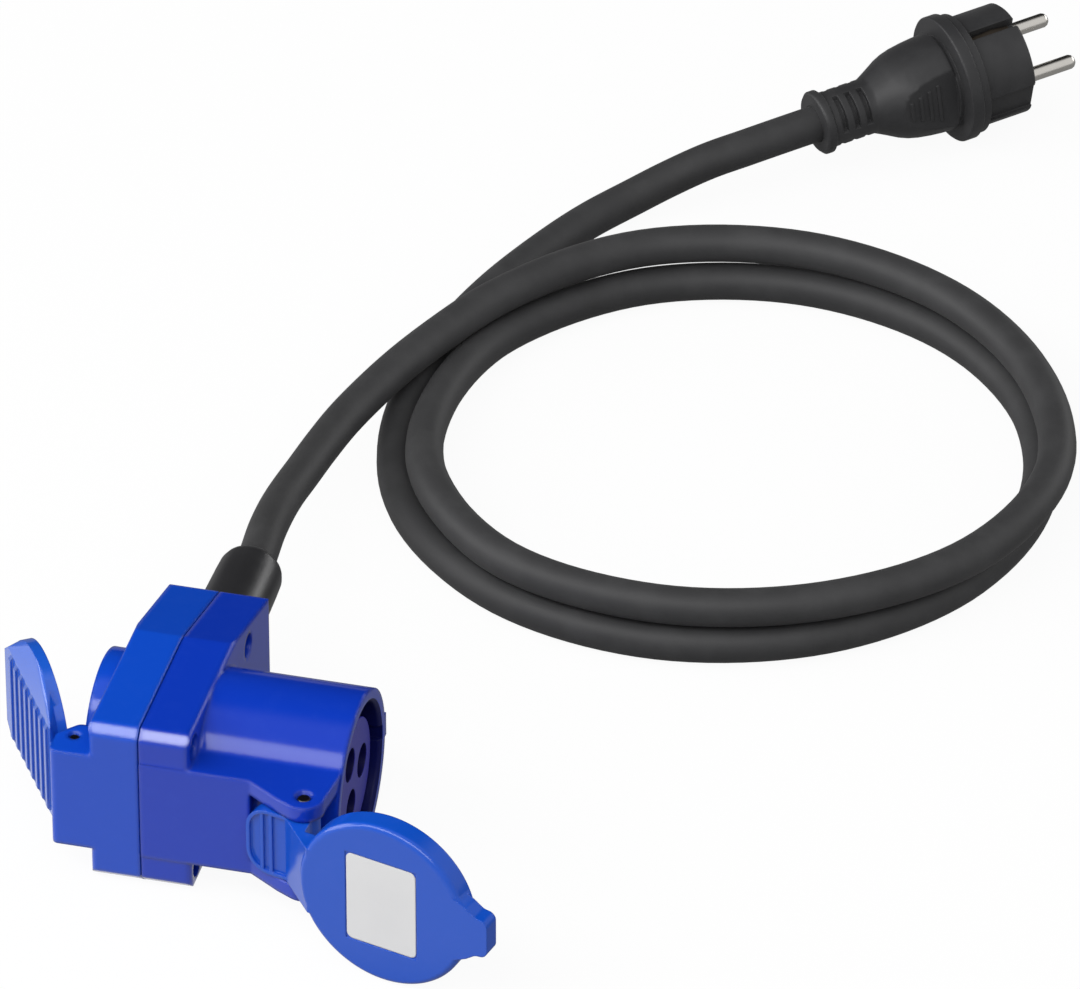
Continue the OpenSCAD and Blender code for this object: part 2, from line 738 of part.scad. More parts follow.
module flap_form() {
    tip = flap_axis + 21.5;
    hull() {
        slab_x(-flap_top, 0.3 - flap_top, [[6.8, -16.2], [tip - 3.6, -16.2], [tip, -13.2], [tip, 13.2],
            [tip - 3.6, 16.2], [6.8, 16.2]]);
        along_x(-2.6, -2.2, flap_r, [flap_axis, 0], $fn = 32);
    }
    along_x(-2.5, 0.7, flap_r, [flap_axis, 0]);
    box(-flap_top, -2.75, 0, 9, -ear_gap + 1.1, ear_gap - 1.1);
    translate([0, 0, -ear_gap + 1.1])
        cylinder(r = flap_knuckle_r, h = 2 * ear_gap - 2.2);
    box(-flap_top, 0, -2, 0, -ear_gap + 1.1, ear_gap - 1.1);
}

module flap_ribs() {
    for (i = [0 : 7])
        slab_y(8.6 + 5.2 * i, 10.4 + 5.2 * i, [[0.2 - flap_top, -15.8], [-flap_top - flap_rib_h, -14.4],
            [-flap_top - flap_rib_h, 14.4], [0.2 - flap_top, 15.8]]);
}

module outlet_lid() {
    color(lid_blue)
        at_flap(flap_open)
            difference() {
                union() {
                    flap_form();
                    flap_ribs();
                }
                along_x(-1.7, 2, flap_r - 2.1, [flap_axis, 0]);
                along_x(-3.2, 0, cup_r - 1, [flap_axis, 0]);
                translate([0, 0, -ear_gap])
                    cylinder(r = flap_pin_r + hinge_play, h = 2 * ear_gap);
            }
}

module outlet_lid_pin() {
    color(steel)
        translate([-flap_pin_x, -flap_pin_y, axis_z - block_w / 2 + pin_sunk])
            cylinder(r = flap_pin_r, h = block_w - 2 * pin_sunk);
}

module outlet_lid_seal() {
    color(rubber)
        at_flap(flap_open)
            difference() {
                along_x(-1.65, -0.7, flap_r - 2.2, [flap_axis, 0]);
                along_x(-4, 1, cup_r - 0.9, [flap_axis, 0]);
            }
}

module cable_boot() {
    out = far_len + boot_l;
    tip = boot_tip_d / 2;
    shelf = far_len - wall - 0.1;
    inner = boot_neck_r - 1.2;
    ring = boot_neck_r + 2.8;
    color(rubber)
        translate([0, 0, axis_z])
            rotate([-90, 0, 0])
                rotate_extrude()
                    polygon([[boot_bore_r, boot_in], [inner, boot_in], [inner, shelf - 3], [ring, shelf - 3],
                        [ring, shelf], [boot_neck_r, shelf], [boot_neck_r, far_len + 0.1],
                        [boot_d / 2, far_len + 0.1], [boot_d / 2, far_len + 4], [tip + 0.2, out - 9],
                        [tip, out - 4], [tip - 0.5, out - 2.2], [tip - 1.6, out - 0.7], [tip - 2.9, out],
                        [boot_bore_r, out]]);
}

function clamp_screw_at(s) = [clamp_y + clamp_l / 2, axis_z + s * clamp_screw_z];

module cord_clamp() {
    color(carrier_blue)
        difference() {
            box(3.5, clamp_top, clamp_y + 0.4, clamp_y + clamp_l - 0.4,
                axis_z - clamp_half, axis_z + clamp_half);
            translate([0, clamp_y - 1, axis_z])
                rotate([-90, 0, 0])
                    cylinder(r = cord_r + 0.05, h = clamp_l + 2);
            for (s = [-1, 1])
                along_x(0, clamp_top + 1, clamp_screw_r + seat_play, clamp_screw_at(s));
        }
}

module cord_clamp_screws() {
    color(steel)
        for (s = [-1, 1])
            screw(clamp_top + clamp_head, clamp_screw_at(s), clamp_screw_r, 2.8, clamp_head, screw_end);
}

module line_wires() {
    color([0.35, 0.2, 0.1]) {
        tube(smooth(line_route, 1), wire_d / 2, 8);
        tube(line_link, wire_d / 2 - 0.3, 8);
    }
}

module neutral_wires() {
    color([0.1, 0.2, 0.6])
        translate([0, 0, 2 * axis_z])
            mirror([0, 0, 1]) {
                tube(smooth(line_route, 1), wire_d / 2, 8);
                tube(line_link, wire_d / 2 - 0.3, 8);
            }
}

module earth_wire() {
    color([0.3, 0.6, 0.1]) {
        tube(smooth(earth_route, 1), wire_d / 2, 8);
        tube(earth_link, wire_d / 2 - 0.3, 8);
    }
}

module cord() {
    color(rubber)
        tube(smooth(route, 2), cord_r, 10);
}

// Plug frame: x from the cable entry to the pins, y across the two pins
module at_plug() {
    translate(plug_at)
        rotate([0, 0, plug_heading])
            rotate([0, -plug_tilt, 0])
                rotate([plug_roll, 0, 0])
                    children();
}

// Plug's turned form, radius against distance from the tail
module plug_form() {
    neck = 9.25;
    t = tail_d / 2;
    g = grip_d / 2;
    f = plug_flange_d / 2;
    p = plug_front_d / 2;
    rotate([0, 90, 0])
        rotate_extrude()
            polygon([[plug_bore_r, 0], [t - 1, 0], [t, 1], [t, 2.8], [t - 0.7, 3.5], [neck, 3.5],
                [neck, 18.9], [neck + 1, 21], [g - 4.7, 24], [g - 3.1, 27], [g - 2, 29.8], [g - 1.2, 33],
                [g - 0.6, 37], [g - 0.2, 41], [g, grip_end - 1], [g - 0.3, grip_end - 0.3], [g - 1.2, grip_end],
                [g - 1.2, flange_x], [f - 0.6, flange_x], [f, flange_x + 0.6], [f, flange_x + 4],
                [f - 0.6, flange_x + 4.6], [f - 1, flange_x + 4.6], [f - 1, front_x], [p, front_x],
                [p, plug_l - 0.8], [p - 0.8, plug_l], [0, plug_l], [0, 21], [plug_bore_r, 21]]);
}

// Slots that let the plug's tail bend, three to a row
module relief_slots() {
    for (x = [5.9, 10.3, 14.7])
        difference() {
            along_x(x, x + 2, 10, [0, 0]);
            along_x(x - 0.1, x + 2.1, 7.5, [0, 0]);
            for (k = [0 : 2])
                rotate([slot_turn + 120 * k, 0, 0])
                    box(x - 0.1, x + 2.1, 0, 11, -2.7, 2.7);
        }
}

// Ribs on one of the grip's flats, longer towards the flange
module grip_ribs() {
    for (i = [0 : 3])
        box(28.6 + 3.3 * i, 29.8 + 3.3 * i, grip_flat - 1, grip_flat + 0.6, -3.2 - 1.1 * i, 3.2 + 1.1 * i);
}

module plug_body() {
    front_r = plug_front_d / 2;
    slot_half = strip_half + strip_gap;
    bar_half = strip_half + 0.1;
    color(rubber)
        at_plug() {
            difference() {
                plug_form();
                relief_slots();
                for (turn = [0, 180])
                    rotate([turn, 0, 0]) {
                        rotate([grip_turn, 0, 0])
                            box(22, grip_end, grip_flat, grip_flat + 9, -20, 20);
                        box(front_x, plug_l + 1, -slot_half, slot_half, strip_r, strip_r + 9);
                        box(front_x, plug_l + 1, front_r - guide_depth, front_r + 9, -guide_half, guide_half);
                        along_x(pin_back, bridge_x + 1, root_r + seat_play, [pole_pitch / 2, 0]);
                    }
                box(bridge_x, plug_l + 1, -13.1, 13.1, -4.6, 4.6);
                box(front_x + 0.9, front_x + 2.1, -bar_half, bar_half, -strip_r - 1, strip_r + 1);
            }
            for (turn = [0, 180])
                rotate([turn + grip_turn, 0, 0])
                    grip_ribs();
        }
}

module plug_bridge() {
    color([0.2, 0.2, 0.21])
        at_plug()
            difference() {
                box(bridge_x + 0.1, plug_l, -13, 13, -4.5, 4.5);
                for (s = [-1, 1])
                    along_x(bridge_x - 1, plug_l + 1, root_r + seat_play, [s * pole_pitch / 2, 0]);
            }
}

// Pin with a thicker root that ends flush with the plug's face
module plug_pin(side) {
    r = pin_d / 2;
    end = plug_l + pin_l;
    color(nickel)
        at_plug()
            translate([0, side * pole_pitch / 2, 0])
                rotate([0, 90, 0])
                    rotate_extrude()
                        polygon([[0, pin_back + 0.1], [root_r, pin_back + 0.1], [root_r, plug_l], [r, plug_l],
                            [r, end - 1.8], [r * 0.85, end - 0.9], [r * 0.55, end - 0.25], [r * 0.25, end],
                            [0, end]]);
}

module plug_line_pin() {
    plug_pin(1);
}

module plug_neutral_pin() {
    plug_pin(-1);
}

// Earth strip: a bar through the body and a strip in each channel
module plug_earth_strip() {
    top = [[front_x + 2, strip_r + 0.1], [front_x + 9, strip_r + 1.1], [plug_l - 2, strip_r + 0.1],
        [plug_l - 2, strip_r + 0.9], [front_x + 9, strip_r + 1.9], [front_x + 1, strip_r + 0.9]];
    under = [for (i = [len(top) - 1 : -1 : 0]) [top[i][0], -top[i][1]]];
    color(brass)
        at_plug()
            slab_y(-strip_half, strip_half, concat(top, under));
}

front_shell();
rear_shell();
housing_screws();
connector_insert();
connector_line_sleeve();
connector_neutral_sleeve();
connector_earth_sleeve();
outlet_insert();
outlet_line_contact();
outlet_neutral_contact();
outlet_earth_strap();
connector_lid();
connector_lid_pin();
connector_lid_seal();
rating_label();
outlet_lid();
outlet_lid_pin();
outlet_lid_seal();
cable_boot();
cord_clamp();
cord_clamp_screws();
line_wires();
neutral_wires();
earth_wire();
cord();
plug_body();
plug_bridge();
plug_line_pin();
plug_neutral_pin();
plug_earth_strip();
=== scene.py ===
import json
import math

import bmesh
import bpy
import numpy as np
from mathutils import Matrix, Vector


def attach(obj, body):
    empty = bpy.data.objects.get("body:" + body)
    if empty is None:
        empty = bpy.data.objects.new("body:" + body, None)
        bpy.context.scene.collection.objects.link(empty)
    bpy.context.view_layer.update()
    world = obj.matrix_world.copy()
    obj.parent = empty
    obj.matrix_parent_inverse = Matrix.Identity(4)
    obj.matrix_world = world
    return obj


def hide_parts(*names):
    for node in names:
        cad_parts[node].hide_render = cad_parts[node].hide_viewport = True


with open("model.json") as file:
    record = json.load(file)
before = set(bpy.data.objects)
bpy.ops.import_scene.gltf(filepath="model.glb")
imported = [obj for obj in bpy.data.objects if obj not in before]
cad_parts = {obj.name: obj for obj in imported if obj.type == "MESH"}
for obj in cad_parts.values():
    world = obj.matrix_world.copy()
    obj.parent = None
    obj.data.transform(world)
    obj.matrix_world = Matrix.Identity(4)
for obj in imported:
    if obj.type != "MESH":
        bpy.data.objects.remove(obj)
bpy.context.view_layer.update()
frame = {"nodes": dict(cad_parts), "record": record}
nodes = frame["nodes"]
bodyOf = {node: body for body, held in frame["record"]["behaviour"]["bodies"].items() for node in held}
mm = 0.001
print("frame loaded:", len(nodes), "nodes")


# Camera, at the photograph's angle

viewpoint = {"place": (0.72857, -2.43917, 1.91308), "bearing": 14.14, "tilt": 35.176,
             "lens": 354.9, "sensor": 36.0, "nearest": 0.05, "farthest": 60}


def setCamera(v):
    data = bpy.data.cameras.new("studioCamera")
    data.lens = v["lens"]
    data.sensor_width = v["sensor"]
    data.clip_start = v["nearest"]
    data.clip_end = v["farthest"]
    obj = bpy.data.objects.new("studioCamera", data)
    obj.location = v["place"]
    obj.rotation_euler = (math.radians(90 - v["tilt"]), 0, math.radians(v["bearing"]))
    bpy.context.scene.collection.objects.link(obj)
    bpy.context.scene.camera = obj


setCamera(viewpoint)
print("camera set")


# Shader sockets that take part in plain sums

class Wire:
    def __init__(self, sheet, socket):
        self.sheet = sheet
        self.socket = socket

    def sum(self, operation, first, second):
        return self.sheet.add("ShaderNodeMath", {"operation": operation}, {0: first, 1: second})

    def __add__(self, other):
        return self.sum("ADD", self, other)

    def __sub__(self, other):
        return self.sum("SUBTRACT", self, other)

    def __rsub__(self, other):
        return self.sum("SUBTRACT", other, self)

    def __mul__(self, other):
        return self.sum("MULTIPLY", self, other)

    def __truediv__(self, other):
        return self.sum("DIVIDE", self, other)

    __radd__ = __add__
    __rmul__ = __mul__


class Sheet:                                    # a node tree and the one way to add to it
    def __init__(self, tree):
        self.tree = tree

    def add(self, kind, settings=None, inputs=None, out=0):
        node = self.tree.nodes.new(kind)
        for key, value in (settings or {}).items():
            if key == "stops":
                self.setStops(node.color_ramp, value)
            else:
                setattr(node, key, value)
        for key, value in (inputs or {}).items():
            self.feed(node.inputs[key], value)
        return Wire(self, node.outputs[out]) if node.outputs else node

    def setStops(self, ramp, stops):
        while len(ramp.elements) < len(stops):
            ramp.elements.new(0.5)
        for element, (at, value) in zip(ramp.elements, stops):
            element.position = at
            element.color = (value, value, value, 1)

    def feed(self, socket, value):
        if isinstance(value, Wire):
            self.tree.links.new(value.socket, socket)
        else:
            socket.default_value = value


class Finish(Sheet):                            # one Principled material
    def __init__(self, name, fixed):
        self.material = bpy.data.materials.new(name)
        self.material.use_nodes = True
        super().__init__(self.material.node_tree)
        self.shader = self.tree.nodes["Principled BSDF"]
        self.place = self.add("ShaderNodeTexCoord", out=3)
        for key, value in fixed.items():
            self.shader.inputs[key].default_value = value

    def grain(self, scale, detail=2.0, stretch=None, roughness=0.5):
        at = self.place
        if stretch:
            at = self.add("ShaderNodeMapping", None, {"Vector": at, "Scale": stretch})
        return self.add("ShaderNodeTexNoise", None,
                        {"Vector": at, "Scale": scale, "Detail": detail, "Roughness": roughness})

    def ramp(self, value, *stops):
        return self.add("ShaderNodeValToRGB", {"stops": stops}, {"Fac": value})

    def tint(self, share, first, second):
        mix = self.tree.nodes.new("ShaderNodeMix")
        mix.data_type = "RGBA"
        self.feed(mix.inputs["Factor"], share)
        for socket, colour in ((mix.inputs[6], first), (mix.inputs[7], second)):
            self.feed(socket, colour if isinstance(colour, Wire) else (*colour, 1))
        return Wire(self, mix.outputs[2])

    def bump(self, height, strength, distance, edge=0.6 * mm):
        worn = self.add("ShaderNodeBevel", {"samples": 6}, {"Radius": edge})    # edges shaded as if rounded
        return self.add("ShaderNodeBump", None, {"Height": height, "Strength": strength, "Distance": distance,
                                                 "Normal": worn})

    def show(self, **links):
        for key, value in links.items():
            self.feed(self.shader.inputs[key.replace("_", " ")], value)
        return self.material


# Finishes: each maker has its grains, in cycles per metre, and the depth of its bump

plasticGrain = {"drift": 14, "skin": 1100, "scuffs": 160, "depth": 0.04 * mm, "gloss": 0.5, "edge": 0.6 * mm}


def mouldedPlastic(name, f):
    g = plasticGrain
    s = Finish(name, {"IOR": 1.5, "Specular IOR Level": f.get("gloss", g["gloss"])})
    cloud = s.grain(g["drift"], 3)              # slow drift of the colour across a moulding
    skin = s.grain(g["skin"], 2)                # fine skin left by the mould
    rub = s.ramp(s.grain(g["scuffs"], 4, roughness=0.65), (0.52, 0), (0.72, 1))
    colour = s.tint(cloud, f["deep"], f["bright"])
    colour = s.tint(rub * f["haze"], colour, f["worn"])
    return s.show(Base_Color=colour, Roughness=f["rough"] + 0.06 * skin + 0.12 * rub * f["haze"],
                  Normal=s.bump(skin, f["skin"], g["depth"], f.get("edge", g["edge"])))


rubberGrain = {"drift": 22, "grit": 1500, "bloom": 70, "bloomShare": 0.35, "depth": 0.06 * mm, "gloss": 0.4}


def mouldedRubber(name, f):
    g = rubberGrain
    s = Finish(name, {"IOR": 1.5, "Specular IOR Level": f.get("gloss", g["gloss"]), "Sheen Weight": 0.04,
                      "Sheen Roughness": 0.5})
    cloud = s.grain(g["drift"], 3)
    grit = s.grain(g["grit"], 3, roughness=0.6)
    bloom = s.ramp(s.grain(g["bloom"], 4, roughness=0.6), (0.45, 0), (0.75, 1))     # dusty patches
    colour = s.tint(cloud, f["deep"], f["bright"])
    colour = s.tint(bloom * g["bloomShare"], colour, f["dusty"])
    return s.show(Base_Color=colour, Roughness=f["rough"] + 0.1 * grit + 0.06 * bloom,
                  Normal=s.bump(grit, f["grit"], g["depth"]))


metalGrain = {"lines": 700, "stretch": (0.2, 1, 1), "drift": 60, "strength": 0.05, "depth": 0.03 * mm}


def turnedMetal(name, f):
    g = metalGrain
    s = Finish(name, {"Metallic": 1.0})
    lines = s.grain(g["lines"], 2, stretch=g["stretch"])
    cloud = s.grain(g["drift"], 3)
    return s.show(Base_Color=s.tint(cloud, f["deep"], f["bright"]), Roughness=f["rough"] + 0.1 * lines,
                  Normal=s.bump(lines, g["strength"], g["depth"]))


filmGrain = {"fibre": 1600, "drift": 40, "rough": 0.4, "strength": 0.06, "depth": 0.03 * mm}


def paperFilm(name, f):
    g = filmGrain
    s = Finish(name, {"IOR": 1.45, "Specular IOR Level": 0.35})
    fibre = s.grain(g["fibre"], 3)
    cloud = s.grain(g["drift"], 2)
    return s.show(Base_Color=s.tint(cloud, f["deep"], f["bright"]), Roughness=g["rough"] + 0.15 * fibre,
                  Normal=s.bump(fibre, g["strength"], g["depth"]))


frontBlue = {"deep": (0.004, 0.0345, 0.435), "bright": (0.005, 0.044, 0.5), "worn": (0.02, 0.068, 0.52),
             "rough": 0.09, "haze": 0.12, "skin": 0.05, "edge": 0.002}
# the rear half's lighter, greener blue is painted light: the same plastic as the front half, lit more from the
# left
rearPaintedLightBlue = {"deep": (0.0045, 0.064, 0.53), "bright": (0.0055, 0.074, 0.59), "worn": (0.02, 0.095, 0.6),
            "rough": 0.09, "haze": 0.12, "skin": 0.05, "edge": 0.002}

finishes = {
    "blue_shell": mouldedPlastic("blueShell", frontBlue),
    "blue_barrel": mouldedPlastic("blueBarrel", {**frontBlue, "gloss": 0.34}),
    "blue_chamfer": mouldedPlastic("blueChamfer", {**frontBlue, "gloss": 1.0}),
    "rear_blue_painted_light": mouldedPlastic("blueRear", rearPaintedLightBlue),
    "rear_chamfer": mouldedPlastic("rearChamfer", {**rearPaintedLightBlue, "gloss": 0.75}),
    # near-black blue for the inside of the collar: painted shade, the shells' blue plastic where shade falls
    "blue_hollow": mouldedPlastic("blueHollow", {
        "deep": (0.003, 0.005, 0.07), "bright": (0.004, 0.006, 0.09), "worn": (0.008, 0.012, 0.1),
        "rough": 0.4, "haze": 0.12, "skin": 0.06, "gloss": 0.15}),
    # the lid's lighter blue is painted light, on what is most likely the shells' own plastic
    "blue_lid": mouldedPlastic("blueLid", {
        "deep": (0.005, 0.074, 0.51), "bright": (0.006, 0.084, 0.56), "worn": (0.03, 0.1, 0.58),
        "rough": 0.12, "haze": 0.15, "skin": 0.06}),
    # the outlet lid's lighter blue is painted light: the shells' plastic on a face turned to the left light
    "flap_blue_painted_light": mouldedPlastic("blueFlap", {
        "deep": (0.011, 0.1, 0.58), "bright": (0.014, 0.112, 0.64), "worn": (0.04, 0.13, 0.65),
        "rough": 0.12, "haze": 0.15, "skin": 0.06, "gloss": 1.0}),
    "carrier": mouldedPlastic("carrierViolet", {
        "deep": (0.026, 0.026, 0.34), "bright": (0.034, 0.032, 0.39), "worn": (0.05, 0.05, 0.4),
        "rough": 0.3, "haze": 0.12, "skin": 0.06, "gloss": 0.3}),
    # near-black violet for the contact holes: painted shade, the carrier's plastic deep in the holes
    "carrier_hollow": mouldedPlastic("carrierHollow", {
        "deep": (0.004, 0.004, 0.06), "bright": (0.005, 0.005, 0.08), "worn": (0.01, 0.01, 0.09),
        "rough": 0.45, "haze": 0.12, "skin": 0.06, "gloss": 0.2}),
    "brass": turnedMetal("contactBrass", {
        "deep": (0.6, 0.4, 0.14), "bright": (0.72, 0.5, 0.2), "rough": 0.22}),
    # dark brass for the plug's earth strip: painted shade, the strip lying deep in its slot
    "brass_painted_shade": turnedMetal("agedBrass", {
        "deep": (0.07, 0.057, 0.045), "bright": (0.11, 0.092, 0.075), "rough": 0.45}),
    "nickel": turnedMetal("pinNickel", {
        "deep": (0.88, 0.85, 0.79), "bright": (0.94, 0.91, 0.86), "rough": 0.2}),
    "steel": turnedMetal("screwSteel", {
        "deep": (0.42, 0.41, 0.4), "bright": (0.54, 0.53, 0.52), "rough": 0.45}),
    # dark steel for the hinge pins: painted shade, the pins sitting recessed in their holes
    "pin_metal_painted_shade": turnedMetal("pinSteel", {
        "deep": (0.13, 0.115, 0.1), "bright": (0.19, 0.17, 0.15), "rough": 0.22}),
    "boot_rubber": mouldedRubber("bootRubber", {
        "deep": (0.014, 0.014, 0.0155), "bright": (0.02, 0.02, 0.022), "dusty": (0.034, 0.034, 0.036),
        "rough": 0.27, "grit": 0.1, "gloss": 0.55}),
    "seal_rubber": mouldedRubber("sealRubber", {
        "deep": (0.016, 0.016, 0.017), "bright": (0.023, 0.023, 0.024), "dusty": (0.042, 0.042, 0.043),
        "rough": 0.5, "grit": 0.15}),
    "cord_rubber": mouldedRubber("cableRubber", {
        "deep": (0.031, 0.031, 0.032), "bright": (0.041, 0.041, 0.043), "dusty": (0.07, 0.07, 0.072),
        "rough": 0.52, "grit": 0.25}),
    "plug_rubber": mouldedRubber("plugRubber", {
        "deep": (0.025, 0.025, 0.0265), "bright": (0.0335, 0.0335, 0.0355), "dusty": (0.06, 0.06, 0.062),
        "rough": 0.41, "grit": 0.14, "gloss": 0.42}),
    "plug_hard": mouldedPlastic("plugHard", {
        "deep": (0.014, 0.014, 0.015), "bright": (0.02, 0.02, 0.022), "worn": (0.04, 0.04, 0.042),
        "rough": 0.38, "haze": 0.1, "skin": 0.06}),
    "label": paperFilm("labelFilm", {"deep": (0.72, 0.72, 0.73), "bright": (0.79, 0.79, 0.79)}),
    "brown_wire": mouldedPlastic("brownCore", {
        "deep": (0.1, 0.035, 0.012), "bright": (0.13, 0.05, 0.018), "worn": (0.17, 0.08, 0.04),
        "rough": 0.38, "haze": 0.1, "skin": 0.04}),
    "blue_wire": mouldedPlastic("blueCore", {
        "deep": (0.01, 0.06, 0.32), "bright": (0.014, 0.08, 0.4), "worn": (0.05, 0.12, 0.42),
        "rough": 0.38, "haze": 0.1, "skin": 0.04}),
    "green_wire": mouldedPlastic("greenCore", {
        "deep": (0.07, 0.22, 0.02), "bright": (0.1, 0.28, 0.03), "worn": (0.16, 0.32, 0.08),
        "rough": 0.38, "haze": 0.1, "skin": 0.04}),
}
print("finishes made:", len(finishes))


# Cable: the part's own route, in millimetres, gland strand, coil and plug strand

cable = {
    "across": 12, "sides": 7, "steps": 10,
    "plugAt": (107.1, 393.1, 17.8), "heading": 40.4, "tilt": 4.3, "intoPlug": (-12, 0, 20),
    "coilAt": (121, 219), "turns": (870, 180, 30),
    "coilRadius": ((180, 106), (225, 105), (270, 100.5), (310, 97.5), (400, 96.5), (480, 98.5), (510, 97.5),
                   (540, 94.4), (570, 98.4), (600, 101.5), (650, 97), (712, 103), (760, 97.5), (846, 102.5),
                   (870, 102)),
    "coilHeight": ((180, 6.1), (450, 6.2), (480, 6.35), (510, 7.2), (540, 12.2), (570, 17.4), (600, 18.7),
                   (870, 18.7)),
    "glandStrand": ((0, 38, 28), (0, 70, 28), (0, 97, 28), (-2, 120, 26), (-3, 142, 22), (-2, 160, 19.5),
                    (-0.5, 177, 18), (2, 193, 17.5), (6, 208.5, 17.6), (11.6, 225, 18.2), (18.8, 242.5, 18.6)),
    "plugStrand": ((15.8, 240, 6.1), (18, 262, 6.1), (24, 287, 6.1), (34.5, 315, 6.1), (46.5, 338.2, 6.6),
                   (56.5, 350.6, 8.2), (66.5, 360.2, 11), (77.4, 368.8, 14.1), (88.2, 377.1, 15.8)),
    "exit": (0, 59, 28), "length": 1.665,
}


def cableRoute(c):
    heading, tilt = math.radians(c["heading"]), math.radians(c["tilt"])
    ahead = np.array([math.cos(heading) * math.cos(tilt), math.sin(heading) * math.cos(tilt), math.sin(tilt)])
    first, last, step = c["turns"]
    coil = []
    for turn in range(first, last - 1, -step):
        radius = np.interp(turn, *zip(*c["coilRadius"]))
        height = np.interp(turn, *zip(*c["coilHeight"]))
        angle = math.radians(turn)
        coil.append((c["coilAt"][0] + radius * math.cos(angle), c["coilAt"][1] + radius * math.sin(angle),
                     height))
    into = [np.array(c["plugAt"]) + depth * ahead for depth in c["intoPlug"]]
    return np.array([*c["glandStrand"], *coil, *c["plugStrand"], *into]) * mm


def cableSlopes(points):
    steps = np.diff(points, axis=0)
    lengths = np.linalg.norm(steps, axis=1)[:, None]
    lines = steps / lengths
    inner = (lengths[1:] * lines[:-1] + lengths[:-1] * lines[1:]) / (lengths[1:] + lengths[:-1])
    return np.vstack([lines[:1], inner, lines[-1:]]), lengths[:, 0]


def makeCable(c):
    points = cableRoute(c)
    slopes, lengths = cableSlopes(points)
    data = bpy.data.curves.new("rubberCable", "CURVE")
    data.dimensions = "3D"
    data.bevel_depth = c["across"] / 2 * mm
    data.bevel_resolution = c["sides"]
    data.use_fill_caps = True
    data.resolution_u = c["steps"]
    line = data.splines.new("BEZIER")
    line.bezier_points.add(len(points) - 1)
    for i, knot in enumerate(line.bezier_points):
        before = lengths[max(i - 1, 0)] / 3
        after = lengths[min(i, len(lengths) - 1)] / 3
        knot.handle_left_type = knot.handle_right_type = "FREE"
        knot.co = points[i]
        knot.handle_left = points[i] - slopes[i] * before
        knot.handle_right = points[i] + slopes[i] * after
    obj = bpy.data.objects.new("rubberCable", data)
    bpy.context.scene.collection.objects.link(obj)
    data.materials.append(finishes["cord_rubber"])
    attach(obj, bodyOf["cord"])
    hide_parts("cord")
    print("cable laid:", len(points), "points")


# Solids that show: each takes its node's form, with the edges softened as the maker leaves them

shown = {
    "front_shell": {"name": "frontShell", "soften": 0.8, "chamfer": ("blue_chamfer", -27),
                    # the collar's inside takes the painted shade blue, the barrel its own gloss
                    "rings": (("blue_hollow", 16.5, 59.5, 0, 24.4), ("blue_barrel", 19.6, 59.5, 26.6, 27.5))},
    # the rear half takes the painted light blue
    "rear_shell": {"name": "rearShell", "finish": "rear_blue_painted_light", "soften": 0.8, "chamfer": ("rear_chamfer", -27)},
    # the connector lid takes blue_lid, whose lighter blue is painted light
    "connector_lid": {"name": "connectorLid", "soften": 0.5},
    # the outlet lid takes the painted light blue
    "outlet_lid": {"name": "outletLid", "finish": "flap_blue_painted_light", "soften": 0.5},
    "connector_insert": {"name": "connectorCarrier", "soften": 0.25,
                         # the contact holes take the painted shade violet
                         "rings": (("carrier_hollow", 40, 57.1, 0, 17.5),)},
    "outlet_insert": {"name": "outletCarrier", "soften": 0.25},
    "rating_label": {"name": "blankLabel", "soften": 0.08},
    "connector_lid_seal": {"name": "connectorLidSeal", "soften": 0.4},
    "outlet_lid_seal": {"name": "outletLidSeal", "soften": 0.25},
    # the hinge pins take the painted shade steel
    "connector_lid_pin": {"name": "connectorLidPin", "finish": "pin_metal_painted_shade", "soften": 0.5},
    "outlet_lid_pin": {"name": "outletLidPin", "finish": "pin_metal_painted_shade", "soften": 0.4},
    "outlet_earth_strap": {"name": "outletEarthStrap", "soften": 0.15},
    "cable_boot": {"name": "cableBoot", "finish": "boot_rubber", "soften": 0.5},
    "plug_body": {"name": "plugBody", "soften": 0.5},
    "plug_bridge": {"name": "plugBridge", "soften": 0.2},
    "plug_line_pin": {"name": "plugLinePin", "soften": 0.1},
    "plug_neutral_pin": {"name": "plugNeutralPin", "soften": 0.1},
    # the earth strip takes the painted shade brass
    "plug_earth_strip": {"name": "plugEarthStrip", "finish": "brass_painted_shade", "soften": 0.15},
}
softening = {"weld": 2e-6, "flat": math.radians(0.6), "sharp": math.radians(28), "chamfer": math.radians(55),
             "narrow": 6 * mm, "share": 0.3, "sideways": 0.6, "segments": 3, "slope": 0.6}
slotOf = {entry["node"]: entry["material_slot"] for entry in frame["record"]["subparts"]}
mouth = [mount for mount in frame["record"]["mounts"] if mount["name"] == "connector_mouth"][0]["pos_m"]


def reach(edge, face):                          # how far a face runs back from one of its edges
    start = edge.verts[0].co
    line = (edge.verts[1].co - start).normalized()
    return max((vert.co - start).cross(line).length for vert in face.verts)


def sideRoom(edge):                             # shortest edge that leaves this one sideways
    line = (edge.verts[1].co - edge.verts[0].co).normalized()
    spans = [1.0]
    for vert in edge.verts:
        for other in vert.link_edges:
            run = other.other_vert(vert).co - vert.co
            across = run.cross(line).length
            if across > softening["sideways"] * run.length:
                spans.append(across)
    return min(spans)


def edgeRound(edge, soften):                    # width of the rounding, nothing on an edge that only shades
    angle = edge.calc_face_angle(0) if len(edge.link_faces) == 2 else 0
    if angle <= softening["sharp"]:
        return 0
    room = min(reach(edge, face) for face in edge.link_faces)
    if angle < softening["chamfer"] and room < softening["narrow"]:
        return 0
    return min(soften, softening["share"] * min(room, sideRoom(edge)) / mm)


